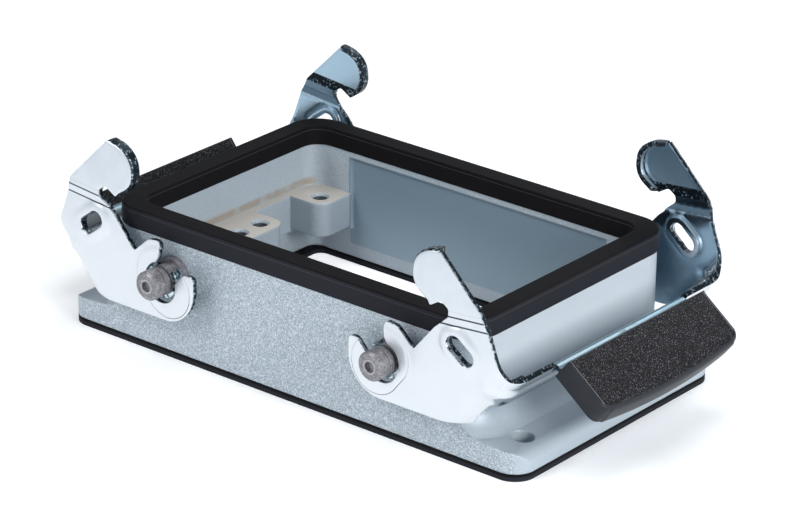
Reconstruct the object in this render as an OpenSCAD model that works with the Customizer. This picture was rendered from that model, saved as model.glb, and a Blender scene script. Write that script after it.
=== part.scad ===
/* [Flange] */
// Length of the two ears beyond the short walls
ear_l = 16.5; // [15:0.5:26]
// Width of the flange, flush with the long walls
flange_w = 90; // [86:1:104]
// Radius of the flange's corners in plan
flange_r = 6.5; // [5:0.5:9]
// Height of the ears above the flange's underside, at the walls
ear_h = 7.1; // [6.5:0.1:9]
// Angle at which the ears' tops fall away to their ends
ear_fall = 4; // [1:0.5:4]
// Radius of the rounded top edge at the ears' ends
ear_round = 4; // [2:0.5:4]
// Radius of the hollow where a short wall meets its ear
foot_r = 8; // [5:0.5:10]
// Distance from the flange's end to the bolt holes
bolt_inset_x = 7; // [6.5:0.5:8]
// Distance from the flange's side to the bolt holes
bolt_inset_y = 10.5; // [8:0.5:14]
// Diameter of the bolt holes
bolt_d = 6.6; // [4.5:0.1:7]

/* [Walls] */
// Length over the short walls
body_l = 131; // [124:1:160]
// Height of the walls, from the flange's underside to the shoulder under the rim seal
wall_h = 33.8; // [32:0.2:60]
// Outer radius of the walls' corners
wall_r = 10; // [8:0.5:14]
// Thickness of the short walls above the ledge
end_wall = 4.5; // [4:0.1:6]
// Thickness of the long walls
side_wall = 5.75; // [5.25:0.25:8]
// Inner radius of the walls' corners
cavity_r = 6; // [3:0.5:8]
// Depth of the ledge under the insert, on each short wall
ledge_d = 2; // [1:0.25:3]
// Height of the ledge and of the bosses' tops
ledge_z = 20.5; // [16:0.5:24]
// Height of the recess round the cavity's foot
undercut_h = 9; // [4:0.5:12]
// Depth of the shallow panel in each long wall
relief_d = 1; // [0.5:0.1:1.5]
// Length of the shallow panel in each long wall
relief_l = 94; // [80:1:100]
// Bare band left above and below the shallow panel
relief_edge = 2; // [1:0.5:4]

/* [Insert seats] */
// Distance between the insert screws along the housing
insert_l = 104; // [98:1:108]
// Distance between the two screws at one end of an insert
insert_pitch = 27; // [24:0.5:29]
// Distance between the neighbouring screws of the two inserts
insert_gap = 9; // [8:0.5:12]
// Height of the insert bosses
boss_h = 10.5; // [8:0.5:14]
// Material round each insert screw
boss_wall = 5.5; // [4.5:0.25:6]
// Radius of the bosses' free corners
boss_r = 4.5; // [2:0.5:5]
// Core diameter of the tapped holes
tap_d = 4.2; // [3.2:0.1:5]
// Mouth diameter of the tapped holes
tap_mouth = 5.6; // [5.2:0.1:6.5]

/* [Seals] */
// Thickness of the flange seal
pad_t = 2.2; // [1.5:0.1:4]
// How far the flange seal's opening stands inside the cavity's foot, at each end
pad_lip = 1.6; // [0:0.2:2.4]
// Radius of the flange seal's opening
pad_r = 3; // [1:0.5:6]
// Height of the rim seal
seal_h = 5.8; // [5:0.1:8]
// Width of the rim seal's section
seal_t = 6.2; // [5.8:0.1:7]
// How far the rim seal stands out over the short walls
seal_over = 0.5; // [0.1:0.1:1]
// How far the rim seal stands out over the long walls
seal_side = 0.1; // [0:0.1:1]
// Radius of the rim seal's inner corners
seal_in_r = 5.8; // [3:0.2:7]
// Radius of the rim seal's top edges
seal_round = 0.8; // [0.3:0.1:1.2]
// Thickness of the rim tongue that holds the seal
rib_t = 2; // [1.2:0.1:2.4]
// Height of the rim tongue
rib_h = 3.4; // [2:0.1:4]
// Clearance between the rim tongue and the seal's groove
rib_gap = 0.1; // [0.05:0.05:0.2]

/* [Pivot pins] */
// Distance from a short wall's outer face to the pins
pin_inset = 25.2; // [22:0.2:30]
// Height of the pins above the flange's underside
pin_z = 24.1; // [21:0.1:26]
// Diameter of a pin's shank
pin_d = 8.5; // [7:0.1:9.5]
// How far a pin stands out past its lever's arm
pin_proud = 6; // [3:0.5:8]
// Chamfer on the pin's free end
pin_chamfer = 0.7; // [0.3:0.1:1]
// How far the pin's collar stands out round the shank
collar_step = 1.2; // [0.8:0.1:1.5]
// Thickness of the pin's collar
collar_t = 2; // [1:0.1:2.5]
// Diameter of the spigot in the wall
spigot_d = 6; // [4:0.1:6.5]
// Length of the spigot in the wall
spigot_l = 3.2; // [2:0.1:3.6]
// Running clearance round the spigot
spigot_gap = 0.03; // [0.01:0.01:0.08]
// Diameter of the centre recess in the pin's end
centre_d = 3; // [2:0.1:4]
// Depth of the centre recess in the pin's end
centre_depth = 1; // [0.5:0.1:2]

/* [Bushes] */
// Running clearance between a pin and its bush
bush_gap = 0.05; // [0.02:0.01:0.1]
// Thickness of a bush's wall
bush_t = 1.1; // [0.8:0.1:1.4]
// How far a bush stops short of the arm's outer face
bush_short = 0.6; // [0.2:0.1:1]
// Clearance between a bush and the fork, and between a bush and the collar
seat_gap = 0.1; // [0.05:0.05:0.2]

/* [Levers] */
// Thickness of the levers' sheet
sheet = 1.5; // [1.2:0.1:2]
// Distance from a long wall to an arm's outer face
arm_out = 6; // [5.6:0.1:8]
// Radius of the fork's round end
fork_r = 10.9; // [10.5:0.1:12.5]
// Step by which the hook stands outside the rest of the arm
joggle = 0.8; // [0.4:0.1:1.2]
// Height of the joggle above the pin
joggle_z = 17; // [15.5:0.5:18]
// Distance from the pin to the middle of the hook's nose, along the housing
hook_x = 16.8; // [15:0.2:19]
// Distance from the pin to the middle of the hook's nose, upwards
hook_z = 28.8; // [27:0.2:32]
// Depth of the nose's turned-in rim, from the arm's outer face
rim_depth = 3.2; // [2.5:0.1:4.5]
// Distance from the pin to the web's top edge, along the housing
web_x = 41.7; // [40:0.2:46]
// Distance from the pin to the web's top edge, upwards
web_z = 3.4; // [2:0.2:6]
// Width of the web's strip
web_w = 10.9; // [9:0.1:12]
// Angle of the web to the horizontal with the lever open
web_tilt = 52.3; // [48:0.1:56]
// Outer radius of the bends between web and arms
bend_r = 8.5; // [4:0.5:9]
// Length of the oval hole in each arm
oval_l = 9.6; // [8:0.1:10.5]
// Width of the oval hole in each arm
oval_w = 4.9; // [3.5:0.1:5.5]
// Height of the raised pad round the oval hole
oval_up = 0.6; // [0.3:0.1:1.5]
// Width of the raised pad round the oval hole
oval_rim = 2.8; // [2.6:0.1:3.5]
// Wall of the collar that is drawn inwards round the oval hole
oval_collar = 1; // [0.6:0.1:1]
// Depth of the oval hole with its collar, from the raised oval's face
oval_deep = 2.6; // [2.2:0.1:3.2]

/* [Grips] */
// Width of the tongue under the grip
tongue_w = 58; // [50:1:60]
// Length of the tongue from the web's outer face
tongue_l = 16.5; // [12:0.5:18]
// Thickness of the grip's end walls
grip_wall = 1.9; // [1.2:0.1:3]
// Thickness of the grip above the tongue
grip_top = 5.3; // [4:0.1:7]
// Gap between the web's outer face and the grip
grip_back = 1.8; // [1:0.1:3]
// Depth of the grip's bowed outer edge
grip_bow = 2; // [1:0.1:3]
// Radius of the grip's outer corners in plan
grip_r = 3; // [2:0.5:5]
// Clearance between the tongue and the grip
grip_gap = 0.1; // [0.05:0.05:0.2]
// Width of each snap lip under the tongue
lip_w = 4; // [3:0.5:6]
// Reach of each snap lip under the tongue
lip_l = 1.5; // [1:0.1:2]
// Thickness of each snap lip
lip_t = 0.8; // [0.5:0.1:1.2]

/* [Hidden] */
$fn = 96;
// Overlap that keeps cuts and joints clean
eps = 0.05;
// Reach of a cut that goes right through
far = 200;

// Finish of each piece as the object shows it
cast_grey = [0.60, 0.64, 0.67];
rubber_black = [0.13, 0.13, 0.14];
pin_grey = [0.42, 0.42, 0.43];
zinc = [0.80, 0.86, 0.89];
grip_black = [0.09, 0.09, 0.10];

// Housing values that follow from the driving sizes
flange_l = body_l + 2 * ear_l;
cavity_l = body_l - 2 * end_wall;
cavity_w = flange_w - 2 * side_wall;
seat_l = cavity_l - 2 * ledge_d;
bolt_x = flange_l - 2 * bolt_inset_x;
bolt_y = flange_w - 2 * bolt_inset_y;
wall_top = pad_t + wall_h;
seat_top = pad_t + ledge_z;
seal_l = body_l + 2 * seal_over;
pin_axis = [body_l / 2 - pin_inset, 0, pad_t + pin_z];
screw_x = insert_l / 2;
screw_near = insert_gap / 2;
screw_far = screw_near + insert_pitch;

// Lever values that follow from the driving sizes
arm_y = flange_w / 2 + arm_out;
pin_end = arm_y + pin_proud;
bush_in = pin_d / 2 + bush_gap;
bush_out = bush_in + bush_t;
slot_r = bush_out + seat_gap;
collar_end = flange_w / 2 + collar_t;
grip_w = tongue_w + 2 * (grip_gap + grip_wall);
grip_end = tongue_l + grip_gap + grip_wall + grip_bow;
grip_bow_r = (pow(grip_w / 2, 2) + pow(grip_bow, 2)) / (2 * grip_bow);

// How far a hollow's arc dips below the ear's top, so that the two meet at a small angle
toe_sink = 0.1;
// Relief below the bush, in the fork: its centre from the pin and its radius
relief_at = [-0.4, -1.2];
fork_relief_r = slot_r - 0.1;
// Middle of the fork's round end from the pin
fork_at = [-1.3, -0.8];
// Middle and turn of the oval hole
oval_at = [26, 10.5];
oval_turn = -38;
// Length of a joggle's slope
joggle_run = 2.4;
// Distance from the nose's tip to the end of its turned-in rim
rim_stop = 0.8;
// Angles between which a C-shaped bush is open
bush_open = [42, 138];

function unit(v) = v / norm(v);
function wrap(a) = a > 180 ? a - 360 : a < -180 ? a + 360 : a;

// Points of one rounded corner at q, between p and s, with radius r
function corner(p, q, s, r, steps) = r == 0 ? [q] : let (
    u = unit(p - q),
    v = unit(s - q),
    half = acos(u * v) / 2,
    centre = q + unit(u + v) * r / sin(half),
    start = q + u * r / tan(half) - centre,
    finish = q + v * r / tan(half) - centre,
    from = atan2(start[1], start[0]),
    sweep = wrap(atan2(finish[1], finish[0]) - from)
) [for (i = [0:steps]) centre + r * [cos(from + sweep * i / steps), sin(from + sweep * i / steps)]];

// Points of a closed outline whose corners are given as [x, z, radius]
function rounded(c, steps = 8) = let (n = len(c)) [for (i = [0:n - 1])
    let (p = c[(i + n - 1) % n], q = c[i], s = c[(i + 1) % n])
    each corner([p[0], p[1]], [q[0], q[1]], [s[0], s[1]], q[2], steps)];

// Open path moved sideways by t
function beside(path, t) = let (n = len(path)) [for (i = [0:n - 1])
    let (d = unit(path[min(i + 1, n - 1)] - path[max(i - 1, 0)]))
    path[i] + t * [-d[1], d[0]]];
function backwards(path) = [for (i = [len(path) - 1:-1:0]) path[i]];

// Point given in the web's frame: n outwards from the web's outer face, w up the strip
function web_point(n, w, r) = [web_x + n * sin(web_tilt) + w * cos(web_tilt),
                               web_z - n * cos(web_tilt) + w * sin(web_tilt), r];
// Point given from the middle of the hook's nose
function nose_point(x, z, r) = [hook_x + x, hook_z + z, r];

// Corners of an arm's outline round the nose, from the shoulder to the nose's tip
shoulder = nose_point(17, -5.8, 2.5);
apex = nose_point(1.9, 8.8, 1.5);
crown = nose_point(-1.8, 8.1, 8);
brow = nose_point(-6.5, 5.5, 7);
chin = nose_point(-7.1, -3.7, 3.5);
tip = nose_point(-1.1, -7.9, 0.8);
// Corners of the whole outline, anticlockwise from the fork's round end
arm_corners = [
    [fork_at[0] - fork_r, fork_at[1] - fork_r, fork_r - eps],
    [20, fork_at[1] - fork_r, 20],
    [28.6, -10.7, 1.5],
    [31.2, -6.8, 0.8],
    web_point(-1.7, -web_w, 0),
    web_point(0, -web_w, 0),
    web_point(0, 0, 0),
    web_point(-2, 0, 2),
    [36.8, 12.5, 6],
    shoulder,
    apex,
    crown,
    brow,
    chin,
    tip,
    nose_point(2.8, -4.8, 1.2),
    nose_point(5.5, -6.8, 1.5),
    [10, 6.2, 0.8],
    [4.4, 11.3, 3],
    [0, 11.8, 1.3],
    [0.4, 7, 2],
    [slot_r * 0.6, slot_r * 0.6, 0],
    [0, 0, 0],
    [-slot_r * 0.9, 0.3, 0],
    [-8.9, 3.9, 0.9],
    [fork_at[0] - fork_r, 4, 1.4],
];

// Plan outline with rounded corners, centred on the origin
module plan(l, w, r) {
    square([l - 2 * r, w], center = true);
    square([l, w - 2 * r], center = true);
    for (x = [-1, 1], y = [-1, 1])
        translate([x * (l / 2 - r), y * (w / 2 - r)]) circle(r = r);
}

// Plate with rounded corners, standing on z = 0
module plate(l, w, r, h) {
    linear_extrude(height = h) plan(l, w, r);
}

// Half section of a plate: flat top, rounded edge and upright side, out to the given reach
module edge_section(reach, h, edge) {
    square([reach - edge, h]);
    square([reach, h - edge]);
    translate([reach - edge, h - edge]) circle(r = edge);
}

// Plate with a rounded top edge all round, standing on z = 0
module rounded_plate(l, w, r, h, edge) {
    for (x = [-1, 1], y = [-1, 1])
        translate([x * (l / 2 - r), y * (w / 2 - r), 0])
            rotate_extrude() edge_section(r, h, edge);
    for (side = [0, 180]) rotate([0, 0, side]) {
        rotate([90, 0, 0]) linear_extrude(height = w - 2 * r, center = true)
            edge_section(l / 2, h, edge);
        rotate([90, 0, 90]) linear_extrude(height = l - 2 * r, center = true)
            edge_section(w / 2, h, edge);
    }
}

// Half section of the flange: level under the walls, then falling to the rounded end of the ear
module ear_section() {
    slope = tan(ear_fall);
    end = [flange_l / 2 - ear_round, ear_h - (ear_l - ear_round) * slope - ear_round / cos(ear_fall)];
    translate(end) circle(r = ear_round);
    polygon([[-1, 0], [flange_l / 2, 0], [flange_l / 2, end[1]],
             end + ear_round * [sin(ear_fall), cos(ear_fall)], [body_l / 2, ear_h], [-1, ear_h]]);
}

// Section of the hollow between a wall, whose face is at x = 0, and the ear's falling top
module hollow_section() {
    toe = foot_r * (1 - sin(ear_fall));
    rise = foot_r * (1 / cos(ear_fall) - tan(ear_fall)) - toe_sink;
    difference() {
        polygon([[-1, -1], [toe, -1], [toe, -toe * tan(ear_fall) - toe_sink], [0, rise], [-1, rise]]);
        translate([foot_r, rise]) circle(r = foot_r);
    }
}

// Hollow that sweeps the short walls and the walls' corners out into the ears
module foot_hollow() {
    intersection() {
        plate(flange_l, flange_w, flange_r, ear_h + foot_r);
        translate([0, 0, ear_h]) for (side = [-1, 1]) scale([side, 1, 1]) {
            translate([body_l / 2, 0, 0]) rotate([90, 0, 0])
                linear_extrude(height = flange_w - 2 * wall_r, center = true) hollow_section();
            for (y = [-1, 1]) translate([body_l / 2 - wall_r, y * (flange_w / 2 - wall_r), 0])
                rotate_extrude() translate([wall_r, 0]) hollow_section();
        }
    }
}

// Boss between the wall at x = seat_l / 2 and the screw, for y from low to high
module boss_plan(low, high) {
    inner = screw_x - boss_wall;
    translate([inner + boss_r, low]) square([seat_l / 2 + eps - inner - boss_r, high - low]);
    translate([inner, low + boss_r]) square([boss_r + eps, high - low - 2 * boss_r]);
    for (y = [low + boss_r, high - boss_r]) translate([inner + boss_r, y]) circle(r = boss_r);
}

// The three bosses on one short wall: one at each corner and one in the middle
module bosses() {
    reach = cavity_w / 2 + boss_r + eps;
    translate([0, 0, seat_top - boss_h]) linear_extrude(height = boss_h) {
        boss_plan(-screw_near - boss_wall, screw_near + boss_wall);
        intersection() {
            union() {
                boss_plan(screw_far - boss_wall, reach + boss_r);
                boss_plan(-reach - boss_r, -screw_far + boss_wall);
            }
            square([seat_l + 2 * eps, cavity_w + 2 * eps], center = true);
        }
    }
}

// Tapped hole with a countersunk mouth at z = 0
module tapped_hole() {
    sink = (tap_mouth - tap_d) / 2;
    translate([0, 0, -far / 2]) cylinder(d = tap_d, h = far / 2 + eps);
    translate([0, 0, -sink]) cylinder(d1 = tap_d, d2 = tap_mouth + 2 * eps, h = sink + eps);
}

// Everything that is hollow inside the walls
module cavity() {
    foot_l = cavity_l + 2 * pad_lip - 2 * relief_d;
    translate([0, 0, seat_top]) plate(cavity_l, cavity_w, cavity_r, far);
    plate(seat_l, cavity_w, cavity_r - ledge_d, far);
    plate(foot_l, cavity_w + 2 * relief_d, cavity_r - ledge_d, pad_t + undercut_h);
    intersection() {
        translate([0, 0, pad_t + relief_edge])
            plate(relief_l, cavity_w + 2 * relief_d, relief_d, wall_h - 2 * relief_edge);
        plate(flange_l, flange_w - 2 * (side_wall - relief_d), relief_d, far);
    }
}

// Ring that stands on the walls and holds the rim seal
module rim_rib(gap, h) {
    mid_l = body_l - end_wall;
    mid_w = flange_w - side_wall;
    mid_r = wall_r - end_wall / 2;
    half = rib_t / 2 + gap;
    linear_extrude(height = h) difference() {
        plan(mid_l + 2 * half, mid_w + 2 * half, mid_r + half);
        plan(mid_l - 2 * half, mid_w - 2 * half, mid_r - half);
    }
}

// The four places of the flange bolts
module at_bolts() {
    for (x = [-1, 1], y = [-1, 1]) translate([x * bolt_x / 2, y * bolt_y / 2, 0]) children();
}

// The four places of the pivot pins, each turned so that -Y is away from the housing
module at_pin(side, face) {
    scale([side, -face, 1]) translate(pin_axis) children();
}

module housing() {
    color(cast_grey) difference() {
        union() {
            translate([0, 0, pad_t]) {
                intersection() {
                    plate(flange_l, flange_w, flange_r, ear_h);
                    for (side = [-1, 1]) scale([side, 1, 1]) rotate([90, 0, 0])
                        linear_extrude(height = flange_w + 1, center = true) ear_section();
                }
                foot_hollow();
                plate(body_l, flange_w, wall_r, wall_h);
            }
            translate([0, 0, wall_top - eps]) rim_rib(0, rib_h + eps);
        }
        difference() {
            translate([0, 0, -eps]) cavity();
            for (side = [-1, 1]) scale([side, 1, 1]) bosses();
        }
        for (x = [-1, 1], y = [-screw_far, -screw_near, screw_near, screw_far])
            translate([x * screw_x, y, seat_top]) tapped_hole();
        at_bolts() cylinder(d = bolt_d, h = far, center = true);
        for (x = [-1, 1], y = [-1, 1]) at_pin(x, y)
            translate([0, -flange_w / 2 - eps, 0]) rotate([-90, 0, 0])
                cylinder(d = spigot_d + 2 * spigot_gap, h = spigot_l + spigot_gap + eps);
    }
}

module flange_seal() {
    color(rubber_black) difference() {
        plate(flange_l, flange_w, flange_r, pad_t);
        translate([0, 0, -1]) plate(cavity_l - 2 * pad_lip, cavity_w + 2 * relief_d, pad_r, pad_t + 2);
        at_bolts() cylinder(d = bolt_d, h = far, center = true);
    }
}

module rim_seal() {
    seal_w = flange_w + 2 * seal_side;
    color(rubber_black) translate([0, 0, wall_top]) difference() {
        rounded_plate(seal_l, seal_w, wall_r, seal_h, seal_round);
        translate([0, 0, -1]) plate(seal_l - 2 * seal_t, seal_w - 2 * seal_t, seal_in_r, seal_h + 2);
        translate([0, 0, -eps]) rim_rib(rib_gap, rib_h + rib_gap + eps);
    }
}

// Pin along -Y, from its spigot in the wall to its chamfered free end
module pin() {
    color(pin_grey) rotate([90, 0, 0]) difference() {
        union() {
            translate([0, 0, flange_w / 2 - spigot_l]) cylinder(d = spigot_d, h = spigot_l + eps);
            translate([0, 0, flange_w / 2]) cylinder(d = pin_d + 2 * collar_step, h = collar_t);
            translate([0, 0, flange_w / 2]) cylinder(d = pin_d, h = pin_end - flange_w / 2 - pin_chamfer);
            translate([0, 0, pin_end - pin_chamfer])
                cylinder(d1 = pin_d, d2 = pin_d - 2 * pin_chamfer, h = pin_chamfer);
        }
        translate([0, 0, pin_end - centre_depth]) cylinder(d = centre_d, h = centre_depth + 1);
    }
}

// Outline of an arm, extruded along Y through both arms
module arm_outline() {
    rotate([90, 0, 0]) linear_extrude(height = far, center = true) difference() {
        polygon(rounded(arm_corners));
        circle(r = slot_r);
        translate(relief_at) circle(r = fork_relief_r);
    }
}

// Sheet of the arm on -Y with its joggle, cut short where the bend to the web begins
module arm_sheet() {
    top = joggle_z + joggle_run;
    difference() {
        rotate([90, 0, 90]) linear_extrude(height = far, center = true) polygon([
            [-arm_y, -far], [-arm_y, joggle_z], [-arm_y - joggle, top], [-arm_y - joggle, far],
            [sheet - arm_y - joggle, far], [sheet - arm_y - joggle, top],
            [sheet - arm_y, joggle_z], [sheet - arm_y, -far]]);
        at_web() translate([-bend_r, -far, -far]) cube([far, 2 * far, 2 * far]);
    }
}

// The web's frame: X outwards from its outer face, Z up the strip to its top edge
module at_web() {
    translate([web_x, 0, web_z]) rotate([0, 90 - web_tilt, 0]) children();
}

// Half plane to the left of x = face, between the arms, with its two corners rounded
module channel_section(face, half, r) {
    translate([face - far, -half]) square([far - r, 2 * half]);
    translate([face - far, r - half]) square([far, 2 * (half - r)]);
    for (y = [-1, 1]) translate([face - r, y * (half - r)]) circle(r = r);
}

// Web and bends as one channel along the strip
module web_channel() {
    at_web() linear_extrude(height = far, center = true) intersection() {
        difference() {
            channel_section(0, arm_y, bend_r);
            channel_section(-sheet, arm_y - sheet, bend_r - sheet);
        }
        translate([-bend_r - sheet, -far]) square([far, 2 * far]);
    }
}

// Arc of the rounded corner q of the nose, between its neighbours p and s
function nose_arc(p, q, s) = corner([p[0], p[1]], [q[0], q[1]], [s[0], s[1]], q[2], 8);

// Rim turned in along the nose's edge, on the arm on -Y
module nose_rim() {
    end = [tip[0], tip[1]];
    path = concat(nose_arc(shoulder, apex, crown), nose_arc(apex, crown, brow), nose_arc(crown, brow, chin),
                  nose_arc(brow, chin, tip), [end - rim_stop * unit(end - [chin[0], chin[1]])]);
    translate([0, rim_depth - arm_y - joggle, 0]) rotate([90, 0, 0]) linear_extrude(height = rim_depth - eps)
        polygon(concat(path, backwards(beside(path, sheet))));
}

// Tongue that carries the grip
module tongue() {
    at_web() translate([-sheet, -tongue_w / 2, -sheet]) cube([tongue_l + sheet, tongue_w, sheet]);
}

// Oval round the oval hole's middle line, wider than the hole by rim, from y = low to y = high
module oval(rim, low, high) {
    translate([oval_at[0], 0, oval_at[1]]) rotate([0, -oval_turn, 0]) rotate([90, 0, 0])
        translate([0, 0, -high]) linear_extrude(height = high - low) {
            square([oval_l - oval_w, oval_w + 2 * rim], center = true);
            for (x = [-1, 1]) translate([x * (oval_l - oval_w) / 2, 0]) circle(d = oval_w + 2 * rim);
        }
}

// Lever without its oval holes
module formed_sheet() {
    intersection() {
        union() {
            for (face = [-1, 1]) scale([1, -face, 1]) arm_sheet();
            web_channel();
        }
        arm_outline();
    }
    for (face = [-1, 1]) scale([1, -face, 1]) {
        nose_rim();
        oval(oval_rim, -arm_y - oval_up, sheet / 2 - arm_y);
    }
    tongue();
}

module lever() {
    color(zinc) difference() {
        union() {
            difference() {
                formed_sheet();
                for (face = [-1, 1]) scale([1, -face, 1])
                    oval(oval_rim - sheet, sheet - arm_y - oval_up, sheet - arm_y + eps);
            }
            for (face = [-1, 1]) scale([1, -face, 1])
                oval(oval_collar, sheet / 2 - arm_y - oval_up, oval_deep - arm_y - oval_up);
        }
        oval(0, -far, far);
    }
}

// Plan outline of the grip in the web's frame, with its bowed outer edge
module grip_plan() {
    intersection() {
        translate([grip_back, 0]) union() {
            translate([0, -grip_w / 2]) square([grip_end - grip_back - grip_r, grip_w]);
            translate([0, grip_r - grip_w / 2]) square([grip_end - grip_back, grip_w - 2 * grip_r]);
            for (y = [-1, 1]) translate([grip_end - grip_back - grip_r - grip_bow / 2, y * (grip_w / 2 - grip_r)])
                circle(r = grip_r);
        }
        translate([grip_end - grip_bow_r, 0]) circle(r = grip_bow_r, $fn = 360);
    }
}

// The snap lips reach under the tongue, one near each of its outer corners
module grip() {
    low = -sheet - grip_gap;
    color(grip_black) at_web() {
        difference() {
            translate([0, 0, low]) linear_extrude(height = grip_top - low) grip_plan();
            translate([-1, -tongue_w / 2 - grip_gap, low - 1])
                cube([tongue_l + 1 + grip_gap, tongue_w + 2 * grip_gap, 1 - low + grip_gap]);
        }
        for (y = [-1, 1]) translate([tongue_l + grip_gap - lip_l, y * (tongue_w / 2 - lip_w) - lip_w / 2, low - lip_t])
            cube([lip_l + grip_wall, lip_w, lip_t]);
    }
}

// C-shaped bush round the pin on -Y, open where the fork is open
module bush() {
    color(zinc) difference() {
        translate([0, -collar_end - seat_gap, 0]) rotate([90, 0, 0])
            cylinder(r = bush_out, h = arm_y - bush_short - collar_end - seat_gap);
        rotate([90, 0, 0]) cylinder(r = bush_in, h = far);
        rotate([90, 0, 0]) linear_extrude(height = far)
            polygon(concat([[0, 0]], [for (a = [bush_open[0], 90, bush_open[1]]) far * [cos(a), sin(a)]]));
    }
}

module lever_frame(side) {
    scale([side, 1, 1]) translate(pin_axis) children();
}

housing();
flange_seal();
rim_seal();
at_pin(1, -1) pin();  // pin_right_front
at_pin(1, 1) pin();  // pin_right_back
at_pin(-1, -1) pin();  // pin_left_front
at_pin(-1, 1) pin();  // pin_left_back
lever_frame(1) lever();  // lever_right
lever_frame(-1) lever();  // lever_left
lever_frame(1) grip();  // grip_right
lever_frame(-1) grip();  // grip_left
at_pin(1, -1) bush();  // bush_right_front
at_pin(1, 1) bush();  // bush_right_back
at_pin(-1, -1) bush();  // bush_left_front
at_pin(-1, 1) bush();  // bush_left_back
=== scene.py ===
import math

import bmesh
import bpy
import numpy as np
from mathutils import Matrix, Vector, geometry


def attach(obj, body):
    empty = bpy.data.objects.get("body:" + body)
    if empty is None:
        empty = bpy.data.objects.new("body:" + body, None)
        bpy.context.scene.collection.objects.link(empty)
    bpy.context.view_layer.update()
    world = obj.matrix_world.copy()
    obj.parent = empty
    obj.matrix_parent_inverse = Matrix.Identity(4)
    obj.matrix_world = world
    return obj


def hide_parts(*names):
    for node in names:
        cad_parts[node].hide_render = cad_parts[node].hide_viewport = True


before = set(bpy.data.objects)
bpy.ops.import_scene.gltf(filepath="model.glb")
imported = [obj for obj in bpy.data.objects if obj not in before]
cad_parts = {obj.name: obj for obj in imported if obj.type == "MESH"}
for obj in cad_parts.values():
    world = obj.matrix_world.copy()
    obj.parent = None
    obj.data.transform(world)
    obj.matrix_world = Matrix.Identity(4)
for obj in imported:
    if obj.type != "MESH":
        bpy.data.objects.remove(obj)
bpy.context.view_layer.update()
scene = bpy.context.scene
scene.view_settings.view_transform = "Standard"

# Camera: a long lens that looks down on the housing's front right corner, as in the photograph.
# Its turn is given as azimuth, elevation and roll, and it stands about 1.1 m away.
camera_place = (0.6205, -0.7622, 0.4539)
camera_azimuth, camera_elevation, camera_roll = map(math.radians, (38.954, 23.494, 0.776))
camera_lens, sensor_width = 170.75, 36
camera_data = bpy.data.cameras.new("camera")
camera_data.lens = camera_lens
camera_data.sensor_width = sensor_width
camera = bpy.data.objects.new("camera", camera_data)
scene.collection.objects.link(camera)
camera.location = camera_place
camera.rotation_mode = "QUATERNION"
camera.rotation_quaternion = (
    Matrix.Rotation(camera_azimuth, 3, "Z")
    @ Matrix.Rotation(math.pi / 2 - camera_elevation, 3, "X")
    @ Matrix.Rotation(camera_roll, 3, "Z")
).to_quaternion()
scene.camera = camera


# Stage: a wide pale sheet on the table. The camera sees it almost white, with the object's shadow left on it.
# It glows more inside the open housing, and the metal mirrors only the part of it that is close by.
class Wire:
    """A shader socket on which Python's own signs add Math nodes."""

    def __init__(self, finish, socket):
        self.finish = finish
        self.socket = socket

    def maths(self, operation, *others):
        values = dict(enumerate((self, *others)))
        return self.finish.add("ShaderNodeMath", {"operation": operation}, values)

    def __add__(self, other):
        return self.maths("ADD", other)

    def __sub__(self, other):
        return self.maths("SUBTRACT", other)

    def __mul__(self, other):
        return self.maths("MULTIPLY", other)

    def __rsub__(self, other):
        return self.finish.add("ShaderNodeMath", {"operation": "SUBTRACT"}, {0: other, 1: self})

    def __abs__(self):
        return self.maths("ABSOLUTE")

    __radd__ = __add__
    __rmul__ = __mul__

    def fade(self, low, high):
        """0 below low, 1 above high and smooth between; falls instead where low is above high."""
        if low > high:
            return 1 - self.fade(high, low)
        values = {"Value": self, "From Min": low, "From Max": high}
        return self.finish.add("ShaderNodeMapRange", {"interpolation_type": "SMOOTHSTEP"}, values)

    def between(self, low, high, soft):
        """1 from low to high, with soft edges."""
        return self.fade(low - soft, low + soft) * self.fade(high + soft, high - soft)

    def distance(self, other):
        """Length of a step of this wire one way and of the other at a right angle to it."""
        return (self * self + other * other).maths("SQRT")


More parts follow.
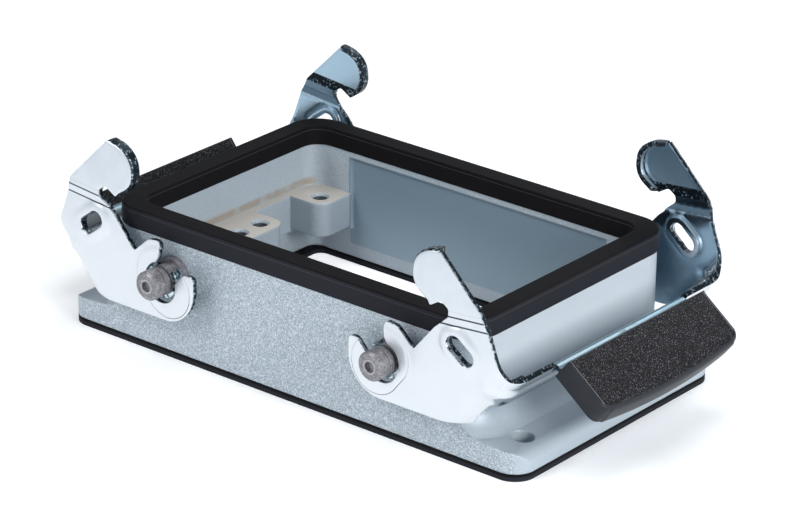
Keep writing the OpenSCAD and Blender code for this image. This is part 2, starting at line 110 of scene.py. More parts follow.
class Finish:
    """A material while it is mixed: one node tree, and one way to add a node to it."""

    def __init__(self, name, **shader):
        self.material = bpy.data.materials.new(name)
        self.material.use_nodes = True
        self.tree = self.material.node_tree
        self.shader = self.tree.nodes["Principled BSDF"]
        self.place = self.add("ShaderNodeTexCoord", output="Object")
        self.set(**shader)

    def put(self, socket, value):
        if isinstance(value, Wire):
            self.tree.links.new(value.socket, socket)
        elif isinstance(value, tuple) and len(value) == 3 and socket.type == "RGBA":
            socket.default_value = (*value, 1)
        else:
            socket.default_value = value

    def add(self, kind, settings=None, values=None, output=0):
        node = self.tree.nodes.new(kind)
        for key, value in (settings or {}).items():
            setattr(node, key, value)
        for key, value in (values or {}).items():
            self.put(node.inputs[key], value)
        return Wire(self, node.outputs[output])

    def set(self, **sockets):
        for key, value in sockets.items():
            self.put(self.shader.inputs[key.replace("_", " ")], value)

    def noise(self, scale, detail=2, roughness=0.5):
        values = {"Vector": self.place, "Scale": scale, "Detail": detail, "Roughness": roughness}
        return self.add("ShaderNodeTexNoise", {}, values, "Fac")

    def mix(self, share, first, second):
        """The first colour where the share is 0, the second where it is 1."""
        values = {"Factor": share, 6: first, 7: second}
        return self.add("ShaderNodeMix", {"data_type": "RGBA"}, values, 2)

    def axes(self, vector=None):
        """X, Y and Z of a vector, the place on the object if none is given."""
        values = {"Vector": vector or self.place}
        return [self.add("ShaderNodeSeparateXYZ", {}, values, axis) for axis in "XYZ"]

    def facing(self):
        """X, Y and Z of the surface's normal on the object."""
        values = {"Vector": self.add("ShaderNodeNewGeometry", output="Normal")}
        settings = {"vector_type": "NORMAL", "convert_from": "WORLD", "convert_to": "OBJECT"}
        return self.axes(self.add("ShaderNodeVectorTransform", settings, values))

    def bump(self, height, distance, strength, normal=None):
        values = {"Height": height, "Distance": distance, "Strength": strength}
        if normal:
            values["Normal"] = normal
        self.set(Normal=self.add("ShaderNodeBump", {}, values))

    def rounded(self, radius):
        """Normal that rounds the sharp edges of the solid."""
        return self.add("ShaderNodeBevel", {"samples": 6}, {"Radius": radius})

    def give(self, *objects):
        for obj in objects:
            obj.data.materials.clear()
            obj.data.materials.append(self.material)


def srgb(red, green, blue):
    """Colour as it is seen on a screen, 0 to 255, as the shader's own numbers."""
    shares = (red / 255, green / 255, blue / 255)
    return tuple(((c + 0.055) / 1.055) ** 2.4 if c > 0.04 else c / 12.92 for c in shares)


sheet_half, sheet_white = 6.0, srgb(236, 238, 240)
sheet_glow, inside_glow = 0.26, 1.4
mirrored_reach = (0.34, 0.09)
inside_x, inside_y = (0.064, 0.058), (0.044, 0.038)
floor_mesh = bpy.data.meshes.new("floor")
corners = [(x * sheet_half, y * sheet_half, 0) for x, y in ((-1, -1), (1, -1), (1, 1), (-1, 1))]
floor_mesh.from_pydata(corners, [], [(0, 1, 2, 3)])
floor = bpy.data.objects.new("floor", floor_mesh)
scene.collection.objects.link(floor)
paper = Finish("pale_paper", Base_Color=sheet_white, Roughness=0.9, Specular_IOR_Level=0.1)
seen = paper.add("ShaderNodeLightPath", output="Is Camera Ray")
mirrored = paper.add("ShaderNodeLightPath", output="Is Glossy Ray")
paper_x, paper_y, _ = paper.axes()
near = paper_x.distance(paper_y).fade(*mirrored_reach)
opening = abs(paper_x).fade(*inside_x) * abs(paper_y).fade(*inside_y)
strength = (seen * (1 + inside_glow * opening) + mirrored * near) * sheet_glow
glow = paper.add("ShaderNodeEmission", {}, {"Strength": strength})
lit_paper = paper.add("ShaderNodeAddShader", {}, {0: glow})
paper.tree.links.new(paper.shader.outputs[0], lit_paper.socket.node.inputs[1])
paper.tree.links.new(lit_paper.socket, paper.tree.nodes["Material Output"].inputs["Surface"])
floor_mesh.materials.append(paper.material)

# Room: walls of white cloth stand far round the table, and it is dim above them.
# Four soft square lamps light the object, the key lamp from the front left and the strongest from the right.
cloth_white, ceiling_grey = (0.74, 0.80, 0.86, 1), (0.16, 0.18, 0.20, 1)
cloth_top, ceiling_start = 0.18, 0.55
sky = bpy.data.worlds.new("sky")
scene.world = sky
sky.use_nodes = True
sky_tree = sky.node_tree
sky_light = sky_tree.nodes["Background"]
sky_light.inputs["Strength"].default_value = 1.0
sky_place, sky_axes, sky_height, sky_colour, sky_white, sky_mix, sky_rays = (
    sky_tree.nodes.new(f"ShaderNode{kind}")
    for kind in ("TexCoord", "SeparateXYZ", "MapRange", "Mix", "Background", "MixShader", "LightPath"))
sky_height.interpolation_type = "SMOOTHSTEP"
sky_height.inputs["From Min"].default_value = cloth_top
sky_height.inputs["From Max"].default_value = ceiling_start
sky_colour.data_type = "RGBA"
sky_colour.inputs[6].default_value = cloth_white
sky_colour.inputs[7].default_value = ceiling_grey
for output, socket in (
    (sky_place.outputs["Generated"], sky_axes.inputs[0]),
    (sky_axes.outputs["Z"], sky_height.inputs["Value"]),
    (sky_height.outputs[0], sky_colour.inputs["Factor"]),
    (sky_colour.outputs[2], sky_light.inputs["Color"]),
    (sky_rays.outputs["Is Camera Ray"], sky_mix.inputs[0]),
    (sky_light.outputs[0], sky_mix.inputs[1]),
    (sky_white.outputs[0], sky_mix.inputs[2]),
    (sky_mix.outputs[0], sky_tree.nodes["World Output"].inputs["Surface"]),
):
    sky_tree.links.new(output, socket)

lamps = {  # place, width, watts
    "key_lamp": ((-0.45, -0.85, 0.85), 0.5, 7.0),
    "top_lamp": ((0.05, 0.15, 1.2), 0.6, 4.5),
    "right_lamp": ((1.1, -0.25, 0.45), 0.5, 12.0),
    "back_lamp": ((-0.3, 1.0, 0.8), 0.5, 2.5),
}
for name, (place, width, watts) in lamps.items():
    lamp_data = bpy.data.lights.new(name, "AREA")
    lamp_data.size = width
    lamp_data.energy = watts
    lamp = bpy.data.objects.new(name, lamp_data)
    scene.collection.objects.link(lamp)
    lamp.location = place
    lamp.rotation_mode = "QUATERNION"
    lamp.rotation_quaternion = (-Vector(place)).to_track_quat("-Z", "Y")

# Housing: one aluminium die casting with a grey powder coat that carries a fine bright speckle.
# The ledges and the bosses' tops are bare, with a tan stain of the parting flash above them, and a shallow
# panel inside each long wall is smoother, and painted darker and bluer as shade. The threads in the screw
# bores are only a colour, painted bands of shade and highlight. Painted shade also darkens the inside below
# the ledge and the ear tops, and the short walls carry a painted highlight and a band of painted shadow.
coat_grey, coat_bright, coat_dark_and_shade = srgb(166, 177, 186), srgb(226, 232, 236), srgb(112, 124, 132)
panel_grey, panel_shade_blue = srgb(134, 156, 170), srgb(104, 126, 142)
bare_metal, stain_tan = srgb(204, 196, 186), srgb(150, 134, 112)
thread_shade, thread_highlight = srgb(36, 34, 36), srgb(118, 112, 110)
end_highlight, end_shadow, ear_top_shade = srgb(222, 230, 236), srgb(84, 102, 118), srgb(140, 152, 163)
# Where an area lies, in metres: a pair says where it fades in or out, a triple its start, end and softness.
skin_y = (0.0420, 0.0440)
panel_y, panel_x = (0.0385, 0.0405, 0.0001), (0.0475, 0.0472)
panel_z, panel_shade = (0.0062, 0.0342, 0.0004), (0.004, 0.030)
ledge_z, ledge_y = (0.0222, 0.0232, 0.0002), (0.0402, 0.0396)
stain_z, stain_x = (0.0229, 0.0252, 0.0007), (0.0580, 0.0625, 0.0004)
screw_x, insert_y, screw_y = 0.052, 0.018, 0.0135
bore_edge, thread_waves = (0.0031, 0.0030), 8976
boss_z, boss_x, boss_y = (0.0115, 0.0222, 0.0006), (0.0592, 0.0588), (0.0400, 0.0396)
end_x, highlight_band, shadow_band = (0.0640, 0.0648), (0.0215, 0.0290), (0.0140, 0.0195, 0.0035)
ear_z = (0.0105, 0.0080)
cast = Finish("powder_coat", Metallic=0.2)
cast_x, cast_y, cast_z = cast.axes()
turn_x, turn_y, turn_z = cast.facing()
front = abs(turn_y).fade(0.35, 0.85) * (0.3 + 0.7 * abs(cast_y).fade(*skin_y))
speckle = cast.noise(3500, detail=1, roughness=0.4)
colour = cast.mix(speckle.fade(0.51, 0.72) * (0.14 + 0.62 * front), coat_grey, coat_bright)
colour = cast.mix(speckle.fade(0.49, 0.30) * (0.10 + 0.56 * front), colour, coat_dark_and_shade)
panel = abs(cast_y).between(*panel_y) * abs(cast_x).fade(*panel_x) * cast_z.between(*panel_z)
# The panel is smoother, with less speckle, and painted darker and bluer towards its top as shade.
panel_shade_tone = cast.mix(cast_z.fade(*panel_shade), panel_grey, panel_shade_blue)
colour = cast.mix(panel * 0.85, colour, panel_shade_tone)
ledge_top = turn_z.fade(0.9, 0.98) * cast_z.between(*ledge_z) * abs(cast_y).fade(*ledge_y)
cloud = cast.noise(420, detail=3, roughness=0.6)
colour = cast.mix(ledge_top * (0.75 + 0.25 * cloud), colour, bare_metal)
stain = cast_z.between(*stain_z) * abs(cast_x).between(*stain_x)
smudge = cast.noise(140, detail=2, roughness=0.5)
stain = stain * smudge.fade(0.2, 0.55) * abs(turn_x).fade(0.5, 0.9)
colour = cast.mix(stain * 0.75, colour, stain_tan)
from_screw_y = abs(abs(abs(cast_y) - insert_y) - screw_y)
from_screw_x = abs(cast_x) - screw_x
bore = from_screw_x.distance(from_screw_y).fade(*bore_edge) * turn_z.fade(0.6, 0.4)
# Painted bands of shade and highlight stand in for the threads and darken the bores.
thread = (cast_z * thread_waves).maths("SINE").fade(-0.2, 0.5)
colour = cast.mix(bore * 0.9, colour, cast.mix(thread, thread_shade, thread_highlight))
# Painted shade darkens the inside below the ledge and the bosses' sides; the same dark grey also makes the
# coat's dark flecks.
boss_side_shade = cast_z.between(*boss_z) * abs(cast_x).fade(*boss_x) * abs(cast_y).fade(*boss_y)
colour = cast.mix(boss_side_shade * 0.35, colour, coat_dark_and_shade)
# The short walls' upper part carries a painted highlight, with a band of painted shadow below it.
end_wall = abs(cast_x).fade(*end_x) * abs(turn_x).fade(0.6, 0.9)
colour = cast.mix(end_wall * cast_z.fade(*highlight_band) * 0.55, colour, end_highlight)
colour = cast.mix(end_wall * cast_z.between(*shadow_band) * 0.65, colour, end_shadow)
# Painted shade darkens the ear tops and other low upward faces.
colour = cast.mix(cast_z.fade(*ear_z) * turn_z.fade(0.7, 0.95) * 0.4, colour, ear_top_shade)
cast.set(Base_Color=colour, Roughness=0.34 + 0.25 * speckle)
grit = speckle + cast.noise(1200, detail=2) * 0.4
cast.bump(grit, distance=0.00008, strength=0.55, normal=cast.rounded(0.0006))
cast.give(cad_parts["housing"])

# Rim seal and flange seal: moulded rubber rings. The rim seal is pressed onto the walls' tongue, with a fine
# parting crease along its outer top edge that carries a painted highlight. Tops are painted darker than
# sides, and inner faces darker still, as shade. The flange seal lies under the flange, a step of two blacks,
# where the blacker band at its top is painted shadow under the flange.
side_black, top_shade_black, inner_shade_black = srgb(38, 39, 45), srgb(17, 16, 18), srgb(18, 17, 19)
crease_highlight, step_shadow = srgb(76, 75, 79), srgb(10, 10, 12)
crease_z, step_z = (0.04068, 0.04078, 0.00006), (0.0013, 0.0023, 0.0001)
inner_z, inner_y, inner_x = (0.03, 0.035), (0.0400, 0.0390), (0.0606, 0.0600)
rubber = Finish("black_rubber", Roughness=0.65, Specular_IOR_Level=0.07)
rubber_x, rubber_y, rubber_z = rubber.axes()
rubber_up = rubber.facing()[2]
crease = rubber_z.between(*crease_z)
# Tops are painted darker than sides, as shade.
tone = rubber.mix(rubber_up.fade(0.4, 0.9), side_black, top_shade_black)
# Painted shade darkens the rim seal's inner faces.
inner = rubber_z.fade(*inner_z) * abs(rubber_y).fade(*inner_y) * abs(rubber_x).fade(*inner_x)
tone = rubber.mix(inner, tone, inner_shade_black)
# The crease on the sides is lightened with a painted highlight.
tone = rubber.mix(crease * rubber_up.fade(0.5, 0.2), tone, crease_highlight)
# Painted shadow under the flange darkens the band at the flange seal's top.
tone = rubber.mix(rubber_z.between(*step_z) * 0.9, tone, step_shadow)
rubber.set(Base_Color=tone)
skin = rubber.noise(1800, detail=3) - crease * 0.8
rubber.bump(skin, distance=0.00005, strength=0.5, normal=rubber.rounded(0.0004))
rubber.give(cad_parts["flange_seal"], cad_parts["rim_seal"])

# Pivot pins: turned steel with a dull grey coat, riveted into the long walls.
# Each has rings from the tool on its end face and one fine groove round its shank, painted dark as shade.
# Two lighter rings on the end face are painted highlights, its darker centre is painted shade, and a dark
# band by the lever is painted shadow.
pin_dark, pin_grey, ring_highlight = srgb(112, 110, 114), srgb(152, 149, 154), srgb(196, 194, 200)
groove_shade, shadow_dark, centre_shade = srgb(30, 30, 34), srgb(30, 32, 36), srgb(84, 82, 90)
pin_at_x, pin_at_z, tool_waves = 0.0403, 0.0263, 9000
end_y, groove_y, shadow_y = (0.0562, 0.0566), (0.05325, 0.05345, 0.00006), (0.0507, 0.0515, 0.0002)
shank_edge, centre_edge = (0.0040, 0.0041), (0.00155, 0.0014)
inner_ring, outer_ring = (0.0017, 0.0021, 0.0001), (0.0036, 0.0037, 0.0001)
pin_steel = Finish("pin_steel", Metallic=0.6)
pin_x, pin_y, pin_z = pin_steel.axes()
reach = (abs(pin_x) - pin_at_x).distance(pin_z - pin_at_z)
rings = (reach * tool_waves).maths("SINE")
end_face = abs(pin_y).fade(*end_y)
groove = abs(pin_y).between(*groove_y) * reach.fade(*shank_edge)
mottle = pin_steel.noise(1500, detail=3, roughness=0.65)
tint = pin_steel.mix(mottle.fade(0.34, 0.70), pin_dark, pin_grey)
# Two lighter rings on the end face are painted highlights.
light_ring = reach.between(*inner_ring) + reach.between(*outer_ring) * 0.5
tint = pin_steel.mix(light_ring * end_face * 0.5, tint, ring_highlight)
# Painted shade darkens the groove.
tint = pin_steel.mix(groove * 0.8, tint, groove_shade)
tint = pin_steel.mix(abs(pin_y).between(*shadow_y) * 0.75, tint, shadow_dark)
# Painted shade darkens the end face's centre.
tint = pin_steel.mix(reach.fade(*centre_edge) * end_face, tint, centre_shade)
pin_steel.set(Base_Color=tint, Roughness=0.32 + 0.2 * mottle)
marks = mottle * 0.5 + rings * end_face * 0.25 - groove
pin_steel.bump(marks, distance=0.00005, strength=0.5, normal=pin_steel.rounded(0.0002))
pin_steel.give(*(node for name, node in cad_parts.items() if name.startswith("pin")))

# Levers: each is a blank of 1.5 mm steel sheet, stamped, formed, bent twice and plated with bright blue zinc.
# Both arms are forks that hang on the pivot pins, and hooks with a turned-in rim that hold the hood's pegs.
# A bead stiffens the web between them, and the tongue for the grip is bent out of its top edge. Sizes in mm.
lever_pin = Vector((40.3, 0, 26.3))
arm_y = 51.0
sheet = 1.5
bend_r = 8.5
web_top = Vector((41.7, 3.4))
web_tilt = math.radians(52.3)
web_out = Vector((math.sin(web_tilt), -math.cos(web_tilt)))
web_up = Vector((math.cos(web_tilt), math.sin(web_tilt)))
web_w = 10.9
bend_end = bend_r * (math.pi / 2 - 1)
half_length = bend_end + arm_y - bend_r
tongue_half, tongue_l = 29, 16.5
tongue_side = half_length - tongue_half
notch_w, notch_depth = 1.0, 0.3
fold_r = 0.8
fold_start = -(sheet + fold_r)
tongue_end = fold_start + fold_r * math.pi / 2 + tongue_l - fold_r
oval_at, oval_turn = Vector((26, 10.5)), math.radians(-38)
oval_half, oval_r = 2.35, 2.45
collar_r, collar_flat = 0.5, 2.1
oval_axis = Vector((math.cos(oval_turn), math.sin(oval_turn)))
pad_rise, pad_slope, pad_r, pad_fall = 0.55, 0.05, 3.9, 1.7
rim_r, rim_flat = 1.3, 1.9
rim_start, rim_stop = 0.8, 2.0
joggle_step, joggle_low, joggle_run = 0.8, 17.0, 2.6
joggle_x, joggle_slant = 22, 0.09
slot_r, relief_r = 5.5, 5.4
relief_at = Vector((-0.4, -1.2))
ring_start, ring_end = Vector((0.3, 1.5)), Vector((-2.6, -2.2))
ring_rise, ring_r, ring_fall = 0.32, 8.2, 0.35
bead_end, bead_up, bead_rise, bead_r = -5.4, -6.4, 0.5, 2.8
nose_at, nose_low = Vector((16.8, 28.8)), 19.5


def web_point(out, up, radius):
    """Corner of the arm's outline, given outwards from the web's top edge and up along the web."""
    place = web_top + web_out * out + web_up * up
    return (place.x, place.y, radius)


def slot_points():
    """The fork's slot: a round seat joined with a relief below it, from the right prong to the left one."""
    for degrees in range(75, -189, -6):
        ray = Vector((math.cos(math.radians(degrees)), math.sin(math.radians(degrees))))
        along = ray.dot(relief_at)
        relief = along + math.sqrt(along ** 2 - relief_at.length_squared + relief_r ** 2)
        yield (*(ray * max(slot_r, relief)), 0)


# The arm's outline as corners (x, z, radius): round the fork to the web, up the hook, its bay and the prongs.
arm_corners = [
    (-12.2, -11.7, 10.85), (20, -11.7, 20), (28.6, -10.7, 1.5), (31.2, -6.8, 0.8),
    web_point(-1.7, -web_w, 0), web_point(0, -web_w, 0), web_point(0, 0, 0), web_point(-2, 0, 2),
    (36.8, 12.5, 6), (33.1, 23.1, 3), (18.7, 37.6, 1.5), (15, 36.9, 8), (9.9, 34.2, 7),
    (9.3, 25.5, 6.5), (16.0, 21.1, 0.9), (19.8, 23.4, 1.2), (22.3, 21.7, 1.3), (22.3, 19.4, 1),
    (17.1, 14.8, 3), (10, 6.2, 0.8),
    (4.4, 11.3, 3), (0, 11.8, 1.3), (0.4, 7, 2), *slot_points(), (-8.9, 3.9, 0.9), (-12.2, 4, 1.4),
]
web_foot, apex, tip = 5, 10, 14


def rounded_outline(corners, step):
    """Closed outline as (place, key); a key is the corner's number, plus 0.5 on the straight after it."""
    arcs = []
    for number, (x, z, radius) in enumerate(corners):
        here = Vector((x, z))
        if radius == 0:
            arcs.append([here])
            continue
        back = (Vector(corners[number - 1][:2]) - here).normalized()
        ahead = (Vector(corners[(number + 1) % len(corners)][:2]) - here).normalized()
        half = back.angle(ahead) / 2
        centre = here + (back + ahead).normalized() * radius / math.sin(half)
        start = here + back * radius / math.tan(half) - centre
        finish = here + ahead * radius / math.tan(half) - centre
        sweep = math.copysign(start.angle(finish), start.cross(finish))
        count = max(3, math.ceil(radius * abs(sweep) / step))
        arcs.append([centre + Matrix.Rotation(sweep * i / count, 2) @ start for i in range(count + 1)])
    outline = []
    for number, arc in enumerate(arcs):
        outline += [(place, number) for place in arc]
        gap = arcs[(number + 1) % len(arcs)][0] - arc[-1]
        count = math.ceil(gap.length / step)
        outline += [(arc[-1] + gap * i / count, number + 0.5) for i in range(1, count)]
    return [point for i, point in enumerate(outline) if (point[0] - outline[i - 1][0]).length > 1e-3]


def smooth(value):
    """0 below 0, 1 above 1 and smooth between."""
    value = min(max(value, 0), 1)
    return value * value * (3 - 2 * value)


def from_segment(place, start, end):
    """Distance of a place from the line between two points."""
    along = end - start
    share = min(max((place - start).dot(along) / along.length_squared, 0), 1)
    return (place - start - along * share).length


def from_oval(place):
    """Distance of a place on the arm from the oval hole's middle line."""
    return from_segment(place, oval_at - oval_axis * oval_half, oval_at + oval_axis * oval_half)


def relief_height(place, out, up):
    """How far the die has pushed the sheet outwards, at a place on the arm that is (out, up) on the blank."""
    above = place.y - joggle_slant * (place.x - joggle_x) - joggle_low
    joggle = joggle_step * min(max(above / joggle_run, 0), 1)
    pad_height = pad_rise - pad_slope * (place - oval_at).dot(oval_axis)
    pad_height *= 1 - smooth((from_oval(place) - pad_r) / pad_fall)
    ring = from_segment(place, ring_start, ring_end)
    ring_height = ring_rise * (1 - smooth((ring - ring_r) / ring_fall))
    bead = math.hypot(max(0, bead_end - out), up - bead_up)
    bead_height = bead_rise * smooth(1 - bead / bead_r)
    return max(joggle, pad_height) + ring_height + bead_height


def formed(out, up):
    """Place in space of a point of the flat blank, out along the bend and up the web's strip."""
    if out <= -bend_r:
        place = web_top + web_out * out + web_up * up
        lift = relief_height(place, out, up)
        return Vector((place.x, -arm_y - lift, place.y)) + lever_pin
    angle = min((out + bend_r) / bend_r, math.pi / 2)
    off_arm = Vector((60, 0))
    lift = relief_height(off_arm, out, up)
    outwards = -bend_r + (bend_r + lift) * math.sin(angle)
    across = -(arm_y - bend_r) - (bend_r + lift) * math.cos(angle) + max(out - bend_end, 0)
    if out > tongue_side - notch_w / 2 and up > fold_start:
        fold = min((up - fold_start) / fold_r, math.pi / 2)
        outwards = fold_r * (1 - math.cos(fold)) + max(up - fold_start - fold_r * math.pi / 2, 0)
        up = fold_start + fold_r * math.sin(fold)
    place = web_top + web_out * outwards + web_up * up
    return Vector((place.x, across, place.y)) + lever_pin


def on_blank(place):
    """Place on the flat blank of a point of the arm's outline as it is seen from the side."""
    out, up = (place - web_top).dot(web_out), (place - web_top).dot(web_up)
    if out > -bend_r:
        out = -bend_r + bend_r * math.asin(min((out + bend_r) / bend_r, 1))
    return Vector((out, up))


def web_border(step):
    """The blank's border along half the web, round the tongue and back, with a point about every step."""
    notch_side, notch_end = tongue_side - notch_w, fold_start - notch_depth
    corners = [Vector(p) for p in (
        (bend_end, -web_w), (half_length, -web_w), (half_length, tongue_end), (tongue_side, tongue_end),
        (tongue_side, notch_end), (notch_side, notch_end), (notch_side, 0), (bend_end, 0))]
    path = []
    for start, end in zip(corners, corners[1:]):
        count = math.ceil((end - start).length / step)
        path += [start + (end - start) * i / count for i in range(count)]
    return path[1:]


def oval_border():
    """The oval hole's border as (place on the arm, direction into the hole)."""
    border = []
    for end, first in ((1, -90), (-1, 90)):
        for degrees in range(first, first + 181, 12):
            turned = oval_turn + math.radians(degrees)
            ray = Vector((math.cos(turned), math.sin(turned)))
            place = oval_at + oval_axis * oval_half * end + (oval_r + collar_r) * ray
            border.append((place, -ray))
        for part in range(1, 10):
            place = place - oval_axis * oval_half * 0.2 * end
            border.append((place, -ray))
    return border


def joggle_creases():
    """The two lines on the blank along which the joggle starts and ends."""
    creases = []
    for height in (joggle_low, joggle_low + joggle_run):
        line = [Vector((x, height + joggle_slant * (x - joggle_x))) for x in np.arange(12, 40, 0.6)]
        creases.append([on_blank(place) for place in line])
    return creases


def inner_points(loops, edges, creases, cell):
    """Grid of points inside the blank, clear of its edges and creases, and closer in the tongue's fold."""
    low, high = loops.min(0), loops.max(0)
    grid = []
    for row, up in enumerate(np.arange(low[1], high[1], cell * 0.866)):
        for out in np.arange(low[0] + cell * 0.5 * (row % 2), high[0], cell):
            grid.append((out, up))
    for turn in range(1, 7):
        for out in np.arange(tongue_side + 0.5, half_length - 0.3, cell):
            grid.append((out, fold_start + fold_r * math.radians(turn * 15)))
    grid = np.array(grid)
    crossings = np.zeros(len(grid), int)
    clear = np.ones(len(grid), bool)
    for a, b in edges:
        (ax, ay), (bx, by) = loops[a], loops[b]
        spans = (ay > grid[:, 1]) != (by > grid[:, 1])
        with np.errstate(divide="ignore", invalid="ignore"):
            crossings += spans & (grid[:, 0] < ax + (grid[:, 1] - ay) * (bx - ax) / (by - ay))
        clear &= np.hypot(grid[:, 0] - ax, grid[:, 1] - ay) > cell * 0.6
    for crease in creases:
        for point in crease:
            clear &= np.hypot(grid[:, 0] - point.x, grid[:, 1] - point.y) > cell * 0.5
    return grid[(crossings % 2 == 1) & clear]


def half_lever(step=0.5, cell=0.85, dark_row=4):
    """Outer surface of half a lever: vertices, faces anticlockwise from outside, and the dark ones."""
    outline = [point for point in rounded_outline(arm_corners, step) if point[1] != web_foot + 0.5]
    count = len(outline)
    places = [place for place, key in outline]
    outward = []
    for i in range(count):
        along = places[(i + 1) % count] - places[i - 1]
        outward.append(Vector((along.y, -along.x)).normalized())
    rim = [i for i, (place, key) in enumerate(outline) if apex <= key <= tip]
    run = [0]
    for i, j in zip(rim, rim[1:]):
        run.append(run[-1] + (places[j] - places[i]).length)
    rim_depth = {i: smooth(min(s / rim_start, (run[-1] - s) / rim_stop)) for i, s in zip(rim, run)}
    for i in rim:
        places[i] = places[i] - outward[i] * rim_r * rim_depth[i]
    blank = [on_blank(place) for place in places]
    cut = next(i for i, point in enumerate(outline) if point[1] == web_foot + 1)
    strip = web_border(step)
    border = blank[:cut] + strip + blank[cut:]
    shift = {i: i if i < cut else i + len(strip) for i in range(count)}
    hole = oval_border()
    loops = np.array(border + [on_blank(place) for place, inward in hole])
    edges = [(i, (i + 1) % len(border)) for i in range(len(border))]
    edges += [(len(border) + i, len(border) + (i + 1) % len(hole)) for i in range(len(hole))]
    creases = joggle_creases()
    grid = inner_points(loops, edges, creases, cell)
    flat = [Vector(p) for p in loops.tolist()] + [Vector(p) for p in grid.tolist()]
    for crease in creases:
        edges += [(len(flat) + i, len(flat) + i + 1) for i in range(len(crease) - 1)]
        flat += crease
    points, _, faces, sources, _, _ = geometry.delaunay_2d_cdt(flat, edges, [], 1, 1e-6)
    number_of = {source: i for i, found in enumerate(sources) for source in found}
    vertices = [formed(point.x, point.y) for point in points]
    kept = []
    for face in faces:
        middle = sum((points[i] for i in face), Vector((0, 0))) / 3
        if from_oval(web_top + web_out * middle.x + web_up * middle.y) < oval_r + collar_r - 0.03:
            continue
        a, b, c = (points[i] for i in face)
        kept.append(tuple(face) if (b - a).cross(c - a) > 0 else tuple(reversed(face)))
    dark_faces = set()

    def turn_in(border_points, directions, radius, flat_run, shares, closed):
        """Continues the sheet over a border and inwards: a quarter turn, then a straight lip."""
        rows = []
        for point, direction, share in zip(border_points, directions, shares):
            base = vertices[point]
            out = Vector((direction.x, 0, direction.y))
            row = [point]
            for degrees in range(9, 91, 9):
                turn = math.radians(degrees)
                bent = out * math.sin(turn) + Vector((0, 1 - math.cos(turn), 0))
                row.append(len(vertices))
                vertices.append(base + bent * radius * share)
            for part in (1, 2, 3):
                row.append(len(vertices))
                vertices.append(base + (out * radius + Vector((0, radius + flat_run * part / 3, 0))) * share)
            rows.append(row)
        for i in range(len(rows) - (not closed)):
            first, second = rows[i], rows[(i + 1) % len(rows)]
            for k in range(len(first) - 1):
                if k >= dark_row:
                    dark_faces.add(len(kept))
                kept.append((first[k + 1], second[k + 1], second[k], first[k]))

    rim = [i for i in rim if rim_depth[i] > 0]
    turn_in([number_of[shift[i]] for i in rim], [outward[i] for i in rim], rim_r, rim_flat,
            [rim_depth[i] for i in rim], False)
    hole_points = [number_of[len(border) + i] for i in range(len(hole))]
    turn_in(hole_points[::-1], [inward for place, inward in hole[::-1]], collar_r, collar_flat,
            [1] * len(hole), True)
    return vertices, kept, dark_faces


def lever_mesh(name, side):
    """Outer surface of a whole lever, mirrored for the left side; its dark faces get the second material."""
    half, half_faces, dark_faces = half_lever()
    mesh = bpy.data.meshes.new(name)
    both = bmesh.new()
    for flip in (1, -1):
        made = [both.verts.new(Vector((v.x * side, v.y * flip, v.z)) / 1000) for v in half]
        for number, face in enumerate(half_faces):
            order = face if flip * side == 1 else tuple(reversed(face))
            both.faces.new([made[i] for i in order]).material_index = int(number in dark_faces)
    bmesh.ops.remove_doubles(both, verts=both.verts, dist=2e-6)
    both.to_mesh(mesh)
    both.free()
    return mesh


zinc_white, zinc_top_shade, zinc_bright = srgb(219, 223, 227), srgb(200, 208, 216), srgb(223, 226, 230)
inside_reflection, slope_shade, band_shade = srgb(160, 184, 200), srgb(40, 62, 78), srgb(28, 36, 42)
line_shade, tongue_blue, flank_reflection = srgb(30, 42, 50), srgb(138, 172, 186), srgb(48, 76, 86)
arm_edge, tongue_edge = (0.0485, 0.0490), (0.0292, 0.0290)
# Where the painted lines and bands of shade and reflection lie, in mm: above the joggle's foot, round the
# fork, outwards and up the web.
low_line, high_line = (-0.28, 0.2, 0.08), (joggle_run - 0.22, joggle_run + 0.26, 0.08)
faint_line = (joggle_run + 1.5, joggle_run + 1.6, 0.1)
slope_band, shaded_band_span = (0.8, joggle_run + 2.3, 0.1), (joggle_run + 2.2, joggle_run + 5.4, 0.15)
ring_band = (8.26, 8.44, 0.07)
fold_band, low_fold, high_fold = (-1.1, -0.7, 0.1), (0.42, 0.8, 0.1), (1.35, 1.65, 0.1)
top_flank, low_flank = (-3.2, -2.7, 0.25), (-10.3, -8.6, 0.6)
zinc = Finish("blue_zinc", Metallic=1.0)
zinc_x, zinc_y, zinc_z = zinc.axes()
arm_x = abs(zinc_x) * 1000 - lever_pin.x
arm_z = zinc_z * 1000 - lever_pin.z
on_arm = abs(zinc_y).fade(*arm_edge)
above = arm_z - joggle_slant * (arm_x - joggle_x) - joggle_low
bend_lines = above.between(*low_line) + above.between(*high_line) + above.between(*faint_line) * 0.3
ring_run = ring_end - ring_start
from_x, from_z = arm_x - ring_start.x, arm_z - ring_start.y
share = (from_x * ring_run.x + from_z * ring_run.y).maths("DIVIDE", ring_run.length_squared)
share = share.maths("MAXIMUM", 0.0).maths("MINIMUM", 1.0)
from_ring = (from_x - share * ring_run.x).distance(from_z - share * ring_run.y)
ring_line = from_ring.between(*ring_band) * arm_z.fade(6.5, 2.0)
ring_line = ring_line * arm_z.fade(1.0, -5.0).maths("MAXIMUM", 0.35)
lines = on_arm * (bend_lines.maths("MINIMUM", 1.0) + ring_line)
zinc_out = (arm_x - web_top.x) * web_out.x + (arm_z - web_top.y) * web_out.y
zinc_up = (arm_x - web_top.x) * web_up.x + (arm_z - web_top.y) * web_up.y
on_tongue = zinc_up.fade(-2.6, -2.1) * abs(zinc_y).fade(*tongue_edge)
fold_lines = zinc_out.between(*fold_band) + zinc_out.between(*low_fold) + zinc_out.between(*high_fold)
lines = (lines + on_tongue * fold_lines).maths("MINIMUM", 1.0)
zinc_cloud = zinc.noise(160, detail=3, roughness=0.55)
zinc_speck = zinc.noise(1500, detail=2, roughness=0.6)
